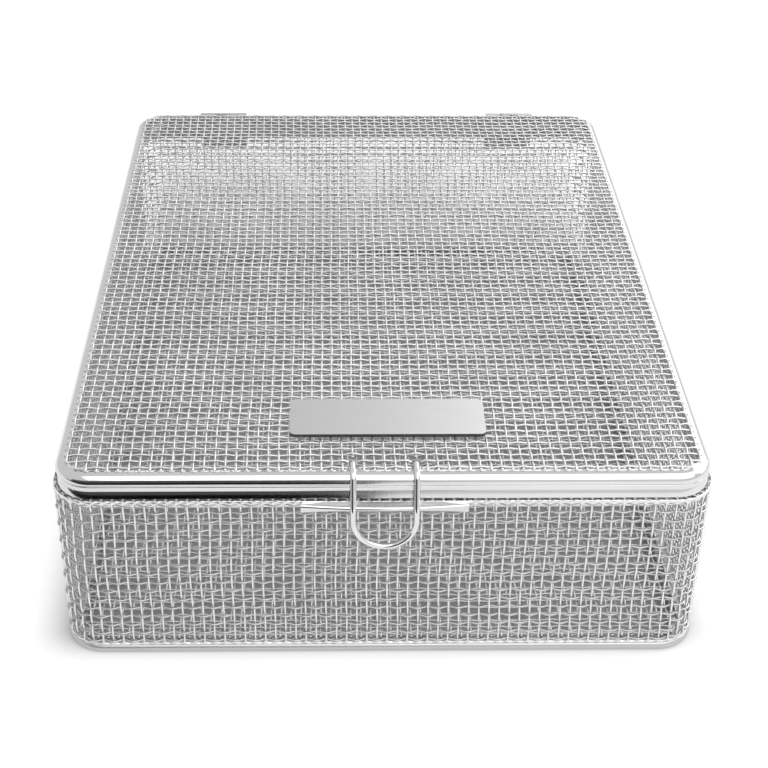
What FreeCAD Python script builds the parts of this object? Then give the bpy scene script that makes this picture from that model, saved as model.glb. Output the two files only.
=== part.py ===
import FreeCAD, Part
import math
import os

import Sketcher

# A woven-wire laboratory basket with a hinged lid, in millimetres.
# The origin is on the floor under the middle of the basket. +Z is up and the latch is on the -Y side.

document = FreeCAD.newDocument("WireBasket")
Vector = FreeCAD.Vector

# Driving sizes
sizes = {
    # lid and basket outlines
    "lid_width": 158.0,  # outside of the lid frame, side to side
    "lid_depth": 215.0,  # outside of the lid frame, front to back
    "lid_corner": 9.0,  # corner radius of the lid frame seen from above
    "basket_height": 51.6,  # floor to the top of the rim
    "lid_gap": 0.3,  # closed lid frame above the rim
    # half-round strips of the two frames
    "lid_frame_thick": 2.6,
    "lid_frame_band": 3.1,
    "base_frame_thick": 3.0,
    "base_frame_band": 4.6,
    # angle strip of the rim
    "rim_inset": 0.3,  # rim behind the edge of the lid
    "rim_height": 5.8,
    "rim_band": 2.8,  # width of the top flange
    "rim_flange": 1.5,  # thickness of the top flange
    "rim_wall": 1.2,  # thickness of the upright
    "rim_shoulder": 0.75,  # radius of the bead along the top edge
    "rim_groove_turn": 53.13,  # how far the bead turns under, in degrees
    "belly_bow": 0.3,  # how far the belly swells out between its ends
    "belly_foot": 3.7,  # rim top to the lower end of the belly
    # woven mesh, drawn as two crossed layers of ridges
    "mesh_thick": 1.0,  # both layers together
    "mesh_edge": 2.0,  # flattened and welded border
    "web_inset": 0.05,  # face that carries the wall mesh, behind the edge of the lid
    "ridge_width": 1.8,
    "ridge_crest": 0.7,  # flat top of a ridge
    "ridge_spacing": 18.0,
    "ridge_rise": 15.0,  # between the level ridges of the walls
    "post_seat": 0.4,  # corner ridge in front of the face that carries the mesh
    "lid_mesh_inset": 2.3,  # mesh border behind the edge of the lid frame
    "base_mesh_inset": 1.4,
    "mesh_drop": 0.1,  # wall mesh below the belly of the rim
    # name plate, left bare
    "plate_length": 48.0,
    "plate_width": 15.5,
    "plate_thick": 0.9,
    "plate_corner": 1.5,
    "plate_setback": 15.0,  # front edge of the lid to the plate
    "plate_shift": 1.2,  # plate to the right of the middle
    # catch lip on the front wall
    "catch_length": 40.0,
    "catch_height": 2.2,
    "catch_thick": 0.9,
    "catch_bow": 1.2,
    "catch_drop": 4.1,  # rim top to the top of the catch
    # latch bail of round wire
    "bail_wire": 1.5,
    "bail_width": 15.1,  # between the middles of its legs
    "bail_setback": 1.2,  # pivot behind the lid frame
    "bail_play": 0.15,  # pivot below the lid mesh
    "bail_clear": 0.35,  # bail in front of the lid edge and the catch
    "bail_stub": 5.2,  # pivot ends, turned outwards
    "bail_bend": 0.9,  # radius of the tight bends
    "bail_drop": 3.1,  # straight legs below the top of the catch
    "bail_knee": 6.0,  # radius where the legs turn straight down
    # hooks that hold the bail under the lid
    "hook_length": 3.0,
    "hook_wall": 0.55,
    "hook_offset": 1.9,  # hook beside the leg
    "slot_clear": 0.3,  # lid mesh around the swinging leg
    "running_clear": 0.06,  # radial clearance of both hinges
    # two knuckle hinges along the back
    "hinge_spread": 50.0,  # middle of the basket to the middle of a hinge
    "hinge_width": 16.0,
    "knuckle_length": 5.6,  # middle knuckle
    "knuckle_gap": 0.2,  # between neighbouring knuckles
    "leaf_thick": 0.8,
    "leaf_drop": 10.0,
    "leaf_top_gap": 0.35,
    "strap_thick": 0.7,
    "strap_flat": 0.8,
    "strap_angle": 35.0,  # how far the strap wraps below the middle of the frame
    "strap_bridge": 70.0,  # where the bridge to the knuckle leaves the strap
    "pin_diameter": 1.8,
    "pin_end": 0.1,  # pin beyond the outer knuckles
}

# Places worked out from the driving sizes
places = {
    "half_width": "lid_width / 2",
    "half_depth": "lid_depth / 2",
    "lid_bottom": "basket_height + lid_gap",
    "lid_top": "lid_bottom + lid_frame_thick",
    "lid_bead": "lid_frame_thick / 2",
    "base_bead": "base_frame_thick / 2",
    "mesh_layer": "mesh_thick / 2",
    "mesh_top": "lid_top + mesh_thick",
    "groove_in": "rim_shoulder * (1 - cos(rim_groove_turn))",
    "groove_drop": "rim_shoulder * (1 + sin(rim_groove_turn))",
    "web_in": "web_inset - rim_inset",
    "web_x": "half_width - web_inset",
    "web_y": "half_depth - web_inset",
    "web_corner": "lid_corner - web_inset",
    "crest_x": "web_x + mesh_thick",
    "crest_y": "web_y + mesh_thick",
    "crest_corner": "web_corner + mesh_thick",
    "wall_foot": "base_frame_thick",
    "wall_top": "basket_height - belly_foot - mesh_drop",
    "catch_top": "basket_height - catch_drop",
    "catch_foot": "catch_top - catch_height",
    "lid_panel_x": "half_width - lid_mesh_inset",
    "lid_panel_y": "half_depth - lid_mesh_inset",
    "base_panel_x": "web_x - base_mesh_inset",
    "base_panel_y": "web_y - base_mesh_inset",
    "gaps_across": "2 * round(lid_panel_x / ridge_spacing)",
    "gaps_along": "2 * round(lid_panel_y / ridge_spacing)",
    "gaps_high": "round((wall_top - wall_foot) / ridge_rise)",
    "leg_x": "bail_width / 2",
    "pivot_y": "lid_frame_band + bail_setback - half_depth",
    "pivot_z": "lid_top - bail_play - bail_wire / 2",
    "over_z": "lid_top + bail_clear + bail_wire / 2",
    "leg_share": "1 - 4 * leg_x * leg_x / (catch_length * catch_length)",
    "leg_y": "-crest_y - catch_thick - catch_bow * leg_share - bail_clear - bail_wire / 2",
    "slot_half": "bail_wire / 2 + slot_clear",
    "slot_end": "pivot_y + (over_z - pivot_z) + slot_half",
    "hook_bore": "bail_wire / 2 + running_clear",
    "hook_round": "hook_bore + hook_wall",
    "hook_x": "leg_x + hook_offset + hook_length / 2",
    "pin_round": "pin_diameter / 2",
    "knuckle_bore": "pin_round + running_clear",
    "knuckle_round": "knuckle_bore + leaf_thick",
    "hinge_y": "crest_y + knuckle_round",
    "hinge_z": "basket_height + lid_gap / 2",
    "strap_y": "half_depth - lid_bead",
    "strap_z": "lid_bottom + lid_bead",
    "strap_round": "lid_bead + strap_thick",
}

sheet = document.addObject("Spreadsheet::Sheet", "Sizes")
for row, (name, size) in enumerate(sizes.items(), 1):
    sheet.set(f"A{row}", name)
    sheet.set(f"B{row}", str(size))
    sheet.setAlias(f"B{row}", name)
for row, (name, formula) in enumerate(places.items(), 1):
    sheet.set(f"D{row}", name)
    sheet.set(f"E{row}", f"={formula}")
    sheet.setAlias(f"E{row}", name)
document.recompute()

pieces = []


def size_of(name):
    return float(sheet.get(name))


def bound(formula):
    # A formula in the sheet's own names, as an expression that other objects can hold.
    words = []
    word = ""
    for letter in formula + " ":
        if letter.isalnum() or letter == "_":
            word += letter
            continue
        known = word in sizes or word in places
        words.append(f"Sizes.{word}" if known else word)
        words.append(letter)
        word = ""
    return "".join(words).strip()


def number(formula):
    return float(sheet.evalExpression(bound(formula)))


# Sketch helpers
def new_body(name):
    body = document.addObject("PartDesign::Body", name)
    body.Label = name
    pieces.append(body)
    return body


def origin_part(body, role):
    return next(item for item in body.Origin.OriginFeatures if item.Role == role)


def new_sketch(body, role, offset="0"):
    sketch = body.newObject("Sketcher::SketchObject", "sketch")
    sketch.AttachmentSupport = (origin_part(body, role), [""])
    sketch.MapMode = "FlatFace"
    sketch.setExpression("AttachmentOffset.Base.z", bound(offset))
    return sketch


def pin_down(sketch, kind, geometry, point, formula):
    value = number(formula)
    if kind == "Radius":
        rule = sketch.addConstraint(Sketcher.Constraint(kind, geometry, value))
    else:
        rule = sketch.addConstraint(Sketcher.Constraint(kind, -1, 1, geometry, point, value))
    name = f"rule{rule}"
    sketch.renameConstraint(rule, name)
    sketch.setExpression(f"Constraints.{name}", bound(formula))


def draw_outline(sketch, corners, arcs=None):
    # A closed outline through corners given as pairs of formulas.
    # arcs gives, by the number of its first corner, an edge's radius and +1 if it turns left, -1 if right.
    arcs = arcs or {}
    points = [Vector(number(across), number(up), 0) for across, up in corners]
    ends = []
    for index, start in enumerate(points):
        finish = points[(index + 1) % len(points)]
        if index not in arcs:
            edge = sketch.addGeometry(Part.LineSegment(start, finish))
            ends.append((edge, 1, 2))
            continue
        radius_formula, turn = arcs[index]
        radius = number(radius_formula)
        chord = finish - start
        aside = Vector(-chord.y, chord.x, 0).normalize() * turn
        reach = math.sqrt(max(radius**2 - (chord.Length / 2) ** 2, 0))
        middle = (start + finish) / 2 + aside * reach
        first, last = (start, finish) if turn > 0 else (finish, start)
        begin = math.atan2(first.y - middle.y, first.x - middle.x)
        end = math.atan2(last.y - middle.y, last.x - middle.x)
        if end <= begin:
            end += 2 * math.pi
        circle = Part.Circle(middle, Vector(0, 0, 1), radius)
        edge = sketch.addGeometry(Part.ArcOfCircle(circle, begin, end))
        ends.append((edge, 1, 2) if turn > 0 else (edge, 2, 1))
        pin_down(sketch, "Radius", edge, 0, radius_formula)
    for index, (edge, _, last) in enumerate(ends):
        following, first, _ = ends[(index + 1) % len(ends)]
        sketch.addConstraint(Sketcher.Constraint("Coincident", edge, last, following, first))
    for (edge, first, _), (across, up) in zip(ends, corners):
        pin_down(sketch, "DistanceX", edge, first, across)
        pin_down(sketch, "DistanceY", edge, first, up)


def draw_box(sketch, left, right, low, high):
    draw_outline(sketch, [(left, low), (right, low), (right, high), (left, high)])


def draw_circle(sketch, across, up, radius):
    middle = Vector(number(across), number(up), 0)
    circle = sketch.addGeometry(Part.Circle(middle, Vector(0, 0, 1), number(radius)))
    pin_down(sketch, "Radius", circle, 0, radius)
    pin_down(sketch, "DistanceX", circle, 3, across)
    pin_down(sketch, "DistanceY", circle, 3, up)


def draw_rounded_box(sketch, half_x, half_y, radius, middle=("0", "0"), split=False):
    # A rectangle with round corners. With split, its outline starts at the middle of the front edge.
    across, along = middle
    corners = []
    if split:
        corners.append((across, f"{along} - ({half_y})"))
    corners += [
        (f"{across} + {half_x} - ({radius})", f"{along} - ({half_y})"),
        (f"{across} + {half_x}", f"{along} - ({half_y}) + {radius}"),
        (f"{across} + {half_x}", f"{along} + {half_y} - ({radius})"),
        (f"{across} + {half_x} - ({radius})", f"{along} + {half_y}"),
        (f"{across} - ({half_x}) + {radius}", f"{along} + {half_y}"),
        (f"{across} - ({half_x})", f"{along} + {half_y} - ({radius})"),
        (f"{across} - ({half_x})", f"{along} - ({half_y}) + {radius}"),
        (f"{across} - ({half_x}) + {radius}", f"{along} - ({half_y})"),
    ]
    first = 1 if split else 0
    draw_outline(sketch, corners, {first + turn: (radius, 1) for turn in (0, 2, 4, 6)})


def round_corners(across, up, radius, first, last, steps):
    # Corners along a round, from one angle to another in degrees, drawn as short flats.
    angles = [first + (last - first) * step / steps for step in range(steps + 1)]
    return [(f"{across} + {radius} * cos({angle})", f"{up} + {radius} * sin({angle})") for angle in angles]


# Feature helpers
def pad(body, sketch, length, both_ways=False):
    feature = body.newObject("PartDesign::Pad", "pad")
    feature.Profile = sketch
    feature.SideType = "Symmetric" if both_ways else "One side"
    feature.setExpression("Length", bound(length))
    body.Tip = feature
    return feature


def pocket(body, sketch, length):
    # Cuts as far on both sides of the sketch as length says.
    document.recompute()
    before = body.Shape.Volume
    feature = body.newObject("PartDesign::Pocket", "pocket")
    feature.Profile = sketch
    feature.SideType = "Symmetric"
    feature.setExpression("Length", bound(length))
    body.Tip = feature
    document.recompute()
    if body.Shape.Volume >= before:
        raise RuntimeError(f"{body.Label}: a pocket cuts nothing")
    return feature


def repeat(body, feature, role, count, spacing):
    pattern = body.newObject("PartDesign::LinearPattern", "row")
    pattern.Originals = [feature]
    pattern.Direction = (origin_part(body, role), [""])
    pattern.setExpression("Occurrences", bound(count))
    pattern.setExpression("Length", bound(f"({count} - 1) * ({spacing})"))
    body.Tip = pattern
    return pattern


def sweep_round(body, section, half_x, half_y, radius):
    # Carries a section, drawn on the YZ plane at the front, once around a rounded rectangle.
    path = new_sketch(body, "XY_Plane")
    draw_rounded_box(path, half_x, half_y, radius, split=True)
    document.recompute()
    feature = body.newObject("PartDesign::AdditivePipe", "sweep")
    feature.Profile = section
    feature.Spine = (path, [f"Edge{edge + 1}" for edge in range(len(path.Geometry))])
    body.Tip = feature
    return feature


# Frames: half-round strips bent to the outline of the basket
def make_frame(name, half_x, half_y, radius, bottom, thick, band):
    body = new_body(name)
    section = new_sketch(body, "YZ_Plane")
    corners = [(f"{band} - {half_y}", bottom), (f"{band} - {half_y}", f"{bottom} + {thick}")]
    bead = f"{thick} / 2"
    corners += round_corners(f"{bead} - {half_y}", f"{bottom} + {bead}", bead, 90, 270, 8)
    draw_outline(section, corners)
    sweep_round(body, section, half_x, half_y, radius)


make_frame(
    "lid_frame", "half_width", "half_depth", "lid_corner", "lid_bottom", "lid_frame_thick", "lid_frame_band"
)
make_frame("base_frame", "crest_x", "crest_y", "crest_corner", "0", "base_frame_thick", "base_frame_band")


# Rim: an angle strip with a bead along its top edge and a rounded belly over the mesh
def make_rim():
    body = new_body("basket_rim")
    section = new_sketch(body, "YZ_Plane")
    face = "rim_inset - half_depth"
    top = "basket_height"
    corners = [
        (f"{face} + rim_band", f"{top} - rim_flange"),
        (f"{face} + rim_band", top),
    ]
    middle = (f"{face} + rim_shoulder", f"{top} - rim_shoulder")
    corners += round_corners(*middle, "rim_shoulder", 90, 180 + sizes["rim_groove_turn"], 5)
    for share in (0.25, 0.5, 0.75):
        swell = 1 - (2 * share - 1) ** 2
        out = f"groove_in * {1 - share} + web_in * {share} - belly_bow * {swell}"
        corners.append((f"{face} + {out}", f"{top} - groove_drop * {1 - share} - belly_foot * {share}"))
    corners += [
        (f"{face} + web_in", f"{top} - belly_foot"),
        (f"{face} + web_in", f"{top} - rim_height"),
        (f"{face} + web_in + rim_wall", f"{top} - rim_height"),
        (f"{face} + web_in + rim_wall", f"{top} - rim_flange"),
    ]
    draw_outline(section, corners)
    sweep_round(body, section, "half_width - rim_inset", "half_depth - rim_inset", "lid_corner - rim_inset")


make_rim()


# Woven mesh: a flat welded border and two crossed layers of ridges with bevelled edges
def ridge_corners(across, flat, crest):
    # A ridge that stands on the line between the layers.
    return [
        (f"{across} - ridge_width / 2", flat),
        (f"{across} - ridge_crest / 2", crest),
        (f"{across} + ridge_crest / 2", crest),
        (f"{across} + ridge_width / 2", flat),
    ]


def make_panel(name, half_x, half_y, radius, bottom):
    body = new_body(name)
    border = new_sketch(body, "XY_Plane", bottom)
    draw_rounded_box(border, half_x, half_y, radius)
    draw_rounded_box(border, f"{half_x} - mesh_edge", f"{half_y} - mesh_edge", f"({radius}) - mesh_edge")
    pad(body, border, "mesh_layer")
    across = f"2 * ({half_x} - mesh_edge / 2) / gaps_across"
    along = f"2 * ({half_y} - mesh_edge / 2) / gaps_along"
    seam = f"{bottom} + mesh_layer"
    lengthwise = new_sketch(body, "XZ_Plane")
    draw_outline(lengthwise, ridge_corners(f"(1 - gaps_across / 2) * {across}", seam, bottom))
    ridge = pad(body, lengthwise, f"2 * ({half_y} - mesh_edge / 2)", both_ways=True)
    repeat(body, ridge, "X_Axis", "gaps_across - 1", across)
    crosswise = new_sketch(body, "YZ_Plane")
    crest = f"{bottom} + mesh_thick"
    draw_outline(crosswise, ridge_corners(f"(1 - gaps_along / 2) * {along}", seam, crest))
    ridge = pad(body, crosswise, f"2 * ({half_x} - mesh_edge / 2)", both_ways=True)
    repeat(body, ridge, "Y_Axis", "gaps_along - 1", along)
    return body


def cut_leg_slots(body):
    for side in ("", "-"):
        slot = new_sketch(body, "XY_Plane", "lid_top")
        left = f"{side}leg_x - slot_half"
        right = f"{side}leg_x + slot_half"
        draw_box(slot, left, right, "-half_depth", "slot_end")
        pocket(body, slot, "4 * mesh_thick")


lid_mesh = make_panel("lid_mesh", "lid_panel_x", "lid_panel_y", "lid_corner - lid_mesh_inset", "lid_top")
cut_leg_slots(lid_mesh)
make_panel("base_mesh", "base_panel_x", "base_panel_y", "web_corner - base_mesh_inset", "base_frame_thick")


def ring_pad(body, height, thick):
    # One flat band of the inner layer of the wall, all the way round.
    sketch = new_sketch(body, "XY_Plane", height)
    draw_rounded_box(sketch, "web_x + mesh_layer", "web_y + mesh_layer", "web_corner + mesh_layer")
    draw_rounded_box(sketch, "web_x", "web_y", "web_corner")
    return pad(body, sketch, thick)


def make_walls():
    body = new_body("wall_mesh")
    ring_pad(body, "wall_foot", "mesh_edge")
    ring_pad(body, "wall_top - mesh_edge", "mesh_edge")
    rise = "(wall_top - wall_foot) / gaps_high"
    band = ring_pad(body, f"wall_foot + {rise} - ridge_width / 2", "ridge_width")
    repeat(body, band, "Z_Axis", "gaps_high - 1", rise)
    height = "wall_top - wall_foot - mesh_edge"
    low = "wall_foot + mesh_edge / 2"
    across = "2 * (lid_panel_x - mesh_edge / 2) / gaps_across"
    along = "2 * (lid_panel_y - mesh_edge / 2) / gaps_along"
    ways = ((1, "web_y", "X_Axis", "gaps_across", across), (0, "web_x", "Y_Axis", "gaps_along", along))
    for turned, face, role, gaps, spacing in ways:
        for side in ("-", ""):
            sketch = new_sketch(body, "XY_Plane", low)
            out = "-" if side else "+"
            seam = f"{side}{face} {out} mesh_layer"
            crest = f"{side}{face} {out} mesh_thick"
            first = f"(1 - {gaps} / 2) * {spacing}"
            corners = ridge_corners(first, seam, crest)
            draw_outline(sketch, corners if turned else [(up, across_wall) for across_wall, up in corners])
            ridge = pad(body, sketch, height)
            repeat(body, ridge, role, f"{gaps} - 1", spacing)
    # One more ridge stands on each rounded corner, square to its diagonal.
    posts = new_sketch(body, "XY_Plane", low)
    reach = "(web_corner + post_seat) * cos(45)"
    half = "ridge_width / 2 * cos(45)"
    crown = "ridge_crest / 2 * cos(45)"
    rise_out = "(mesh_thick - post_seat) * cos(45)"
    for side_x in ("", "-"):
        for side_y in ("", "-"):
            steps = ((half, "0", "-"), (crown, rise_out, "-"), (crown, rise_out, ""), (half, "0", ""))
            corners = []
            for aside, out, way in steps:
                other = "" if way else "-"
                corners.append(
                    (
                        f"{side_x}(web_x - web_corner + {reach} + {out} {other or '+'} {aside})",
                        f"{side_y}(web_y - web_corner + {reach} + {out} {way or '+'} {aside})",
                    )
                )
            draw_outline(posts, corners)
    pad(body, posts, height)


make_walls()


# Name plate, bare
def make_plate():
    body = new_body("name_plate")
    sketch = new_sketch(body, "XY_Plane", "mesh_top")
    middle = ("plate_shift", "plate_setback + plate_width / 2 - half_depth")
    draw_rounded_box(sketch, "plate_length / 2", "plate_width / 2", "plate_corner", middle)
    pad(body, sketch, "plate_thick")


make_plate()


# Catch: a lip whose upper edge bows forward while its lower edge stays straight on the wall
def make_catch():
    body = new_body("catch_lip")
    steps = 8
    lower = new_sketch(body, "XY_Plane", "catch_foot")
    upper = new_sketch(body, "XY_Plane", "catch_top")
    for sketch, bow in ((lower, "0"), (upper, "catch_bow")):
        corners = [("catch_length / 2", "-crest_y"), ("-catch_length / 2", "-crest_y")]
        for step in range(steps + 1):
            share = step / steps
            swell = 1 - (2 * share - 1) ** 2
            corners.append((f"catch_length * {share - 0.5}", f"-crest_y - catch_thick - {bow} * {swell}"))
        draw_outline(sketch, corners)
    document.recompute()
    feature = body.newObject("PartDesign::AdditiveLoft", "loft")
    feature.Profile = lower
    feature.Sections = [upper]
    feature.Ruled = True
    body.Tip = feature


make_catch()


# Latch bail: one round wire with two pivot ends, two legs and a finger loop
def round_points(start, middle, finish, steps):
    # Points on the round from start to finish, which spans less than half a turn.
    first = start - middle
    last = finish - middle
    angle = first.getAngle(last)
    across = (last - first * math.cos(angle)) / math.sin(angle)
    turns = [angle * step / steps for step in range(steps + 1)]
    return [middle + first * math.cos(turn) + across * math.sin(turn) for turn in turns]


def bend_points(before, corner, after, radius, steps):
    back = (before - corner).normalize()
    ahead = (after - corner).normalize()
    half_turn = (math.pi - back.getAngle(ahead)) / 2
    reach = radius * math.tan(half_turn)
    middle = corner + (back + ahead).normalize() * (radius / math.cos(half_turn))
    return round_points(corner + back * reach, middle, corner + ahead * reach, steps)


def wire_solid(points, radius, flats):
    # Carries a section with flats along straight runs that meet in mitres.
    turns = [2 * math.pi * (step + 0.5) / flats for step in range(flats)]
    ring = [points[0] + Vector(0, math.cos(turn), math.sin(turn)) * radius for turn in turns]
    rings = [ring]
    length = 0
    for index in range(1, len(points)):
        ahead = points[index] - points[index - 1]
        length += ahead.Length
        ahead.normalize()
        normal = ahead
        if index < len(points) - 1:
            normal = (ahead + (points[index + 1] - points[index]).normalize()).normalize()
        slip = [(points[index] - spot).dot(normal) / ahead.dot(normal) for spot in ring]
        ring = [spot + ahead * step for spot, step in zip(ring, slip)]
        rings.append(ring)
    outlines = [rings[0], rings[-1]]
    for near, far in zip(rings, rings[1:]):
        for step in range(flats):
            following = (step + 1) % flats
            outlines.append([near[step], near[following], far[following], far[step]])
    faces = [Part.Face(Part.makePolygon(outline + outline[:1])) for outline in outlines]
    solid = Part.makeSolid(Part.makeShell(faces))
    if solid.Volume < 0:
        solid.reverse()
    expected = flats / 2 * math.sin(2 * math.pi / flats) * radius**2 * length
    if abs(solid.Volume / expected - 1) > 0.001:
        raise RuntimeError("a wire's volume is off")
    return solid


def make_bail():
    leg_x, leg_y = size_of("leg_x"), size_of("leg_y")
    pivot_y, pivot_z, over_z = size_of("pivot_y"), size_of("pivot_z"), size_of("over_z")
    tight, knee = size_of("bail_bend"), size_of("bail_knee")
    centre = Vector(leg_x, size_of("lid_bead") - size_of("half_depth"), size_of("strap_z"))
    round_lid = over_z - centre.z
    stub_end = Vector(leg_x + size_of("bail_stub"), pivot_y, pivot_z)
    heel = Vector(leg_x, pivot_y, pivot_z)
    elbow = Vector(leg_x, pivot_y, over_z)
    crown = Vector(leg_x, centre.y, over_z)
    knee_point = Vector(leg_x, leg_y, size_of("catch_top"))
    loop_start = knee_point - Vector(0, 0, size_of("bail_drop"))
    # The leg leaves the round over the lid edge along its tangent to the knee.
    out = knee_point - centre
    slope = math.atan2(out.z, out.y) - math.acos(round_lid / out.Length)
    leave = centre + Vector(0, math.cos(slope), math.sin(slope)) * round_lid
    loop_middle = Vector(0, leg_y, loop_start.z)
    bottom = loop_middle - Vector(0, 0, leg_x)
    points = [stub_end]
    points += bend_points(stub_end, heel, elbow, tight, 4)
    points += bend_points(heel, elbow, crown, tight, 4)
    points += round_points(crown, centre, leave, 6)
    points += bend_points(leave, knee_point, loop_start, knee, 3)
    points += round_points(loop_start, loop_middle, bottom, 6)
    other_side = [Vector(-point.x, point.y, point.z) for point in points[-2::-1]]
    feature = document.addObject("Part::Feature", "latch_bail")
    feature.Label = "latch_bail"
    feature.Shape = wire_solid(points + other_side, size_of("bail_wire") / 2, 12)
    pieces.append(feature)


make_bail()


# Hooks under the lid that carry the pivot ends of the bail
def make_hook(name, side):
    body = new_body(name)
    offset = f"{side}hook_x"
    front = "lid_frame_band - half_depth"
    top = "pivot_z + bail_wire / 2"
    outside = new_sketch(body, "YZ_Plane", offset)
    corners = [
        (front, top),
        (front, "pivot_z - hook_round"),
        ("pivot_y", "pivot_z - hook_round"),
        ("pivot_y + hook_round", "pivot_z"),
        ("pivot_y + hook_round", top),
    ]
    draw_outline(outside, corners, {2: ("hook_round", 1)})
    pad(body, outside, "hook_length", both_ways=True)
    trough = new_sketch(body, "YZ_Plane", offset)
    corners = [
        ("pivot_y - hook_bore", "pivot_z"),
        ("pivot_y", "pivot_z - hook_bore"),
        ("pivot_y + hook_bore", "pivot_z"),
        ("pivot_y + hook_bore", f"{top} + hook_wall"),
        ("pivot_y - hook_bore", f"{top} + hook_wall"),
    ]
    draw_outline(trough, corners, {0: ("hook_bore", 1), 1: ("hook_bore", 1)})
    pocket(body, trough, "hook_length + 2 * hook_wall")


make_hook("bail_hook_left", "-")
make_hook("bail_hook_right", "")


# Knuckle hinges: a leaf on the basket, a strap around the lid frame and a pin
def make_basket_leaf(name, side):
    body = new_body(name)
    offset = f"{side}hinge_spread"
    leaf = new_sketch(body, "YZ_Plane", offset)
    draw_box(leaf, "crest_y", "crest_y + leaf_thick", "hinge_z - leaf_drop", "hinge_z")
    pad(body, leaf, "hinge_width", both_ways=True)
    barrel = new_sketch(body, "YZ_Plane", offset)
    draw_circle(barrel, "hinge_y", "hinge_z", "knuckle_round")
    pad(body, barrel, "hinge_width", both_ways=True)
    opening = new_sketch(body, "YZ_Plane", offset)
    draw_box(
        opening,
        "crest_y - leaf_thick",
        "hinge_y + 2 * knuckle_round",
        "hinge_z - knuckle_round - leaf_top_gap",
        "hinge_z + 2 * knuckle_round",
    )
    pocket(body, opening, "knuckle_length + 2 * knuckle_gap")
    bore = new_sketch(body, "YZ_Plane", offset)
    draw_circle(bore, "hinge_y", "hinge_z", "knuckle_bore")
    pocket(body, bore, "2 * hinge_width")


def make_lid_strap(name, side):
    body = new_body(name)
    offset = f"{side}hinge_spread"
    strap = new_sketch(body, "YZ_Plane", offset)
    corners = [
        ("strap_y - strap_flat", "lid_top"),
        ("strap_y", "lid_top"),
        ("strap_y + lid_bead * cos(strap_angle)", "strap_z - lid_bead * sin(strap_angle)"),
        ("strap_y + strap_round * cos(strap_angle)", "strap_z - strap_round * sin(strap_angle)"),
        ("strap_y", "lid_top + strap_thick"),
        ("strap_y - strap_flat", "lid_top + strap_thick"),
    ]
    draw_outline(strap, corners, {1: ("lid_bead", -1), 3: ("strap_round", 1)})
    pad(body, strap, "knuckle_length", both_ways=True)
    bridge = new_sketch(body, "YZ_Plane", offset)
    corners = [
        ("hinge_y", "hinge_z + knuckle_round"),
        ("strap_y + strap_round * cos(strap_bridge)", "strap_z + strap_round * sin(strap_bridge)"),
        ("strap_y + lid_bead + strap_thick / 2", "strap_z"),
        ("hinge_y - knuckle_round + leaf_thick / 2", "hinge_z"),
    ]
    draw_outline(bridge, corners)
    pad(body, bridge, "knuckle_length", both_ways=True)
    barrel = new_sketch(body, "YZ_Plane", offset)
    draw_circle(barrel, "hinge_y", "hinge_z", "knuckle_round")
    pad(body, barrel, "knuckle_length", both_ways=True)
    bore = new_sketch(body, "YZ_Plane", offset)
    draw_circle(bore, "hinge_y", "hinge_z", "knuckle_bore")
    pocket(body, bore, "2 * knuckle_length")


def make_pin(name, side):
    body = new_body(name)
    shank = new_sketch(body, "YZ_Plane", f"{side}hinge_spread")
    draw_circle(shank, "hinge_y", "hinge_z", "pin_round")
    pad(body, shank, "hinge_width + 2 * pin_end", both_ways=True)


for word, sign in (("left", "-"), ("right", "")):
    make_basket_leaf(f"basket_leaf_{word}", sign)
    make_lid_strap(f"lid_strap_{word}", sign)
    make_pin(f"hinge_pin_{word}", sign)

document.recompute()

# Checks, then one file for each piece
for item in document.Objects:
    if "Invalid" in item.State or "Error" in item.State:
        raise RuntimeError(f"{item.Label} failed: {item.State}")
os.makedirs("parts", exist_ok=True)
for piece in pieces:
    shape = piece.Shape
    if shape.isNull() or not shape.isValid() or not shape.Solids:
        raise RuntimeError(f"{piece.Label} has no valid solid")
    shape.exportStep(f"parts/{piece.Label}.step")
    print(f"{piece.Label}: {len(shape.Solids)} solid, {shape.Volume:.1f} mm3")
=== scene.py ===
# Woven-wire basket with a hinged lid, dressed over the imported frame.
# Lengths in the dictionaries are millimetres. +Z is up and the latch is on the -Y side.

import math

import bpy
import numpy as np
from mathutils import Matrix, Vector


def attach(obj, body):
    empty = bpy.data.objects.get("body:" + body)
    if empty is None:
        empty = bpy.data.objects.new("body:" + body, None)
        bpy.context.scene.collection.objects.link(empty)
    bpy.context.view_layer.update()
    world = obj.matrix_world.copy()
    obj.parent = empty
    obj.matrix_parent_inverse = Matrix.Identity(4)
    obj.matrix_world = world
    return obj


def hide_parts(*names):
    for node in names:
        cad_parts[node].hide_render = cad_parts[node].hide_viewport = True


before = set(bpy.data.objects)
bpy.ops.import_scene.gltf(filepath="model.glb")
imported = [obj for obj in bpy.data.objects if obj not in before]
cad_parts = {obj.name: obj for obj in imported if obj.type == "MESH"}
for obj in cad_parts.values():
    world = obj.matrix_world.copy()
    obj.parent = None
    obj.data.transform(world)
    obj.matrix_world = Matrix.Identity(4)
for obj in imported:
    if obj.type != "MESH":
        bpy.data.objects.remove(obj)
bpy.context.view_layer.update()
mm = 0.001
print("frame loaded:", len(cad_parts), "nodes")


# colours, nodes and objects


def hexColour(text):
    # sRGB hex to the linear values that shaders take
    parts = [int(text[i : i + 2], 16) / 255 for i in (1, 3, 5)]
    linear = [c / 12.92 if c <= 0.04045 else ((c + 0.055) / 1.055) ** 2.4 for c in parts]
    return (*linear, 1.0)


def addNode(tree, kind, settings=None, inputs=None):
    # adds a node, sets its properties, then fills or links its sockets
    node = tree.nodes.new(kind)
    for key, value in (settings or {}).items():
        setattr(node, key, value)
    for key, value in (inputs or {}).items():
        if isinstance(value, bpy.types.NodeSocket):
            tree.links.new(value, node.inputs[key])
        else:
            node.inputs[key].default_value = value
    return node


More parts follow.
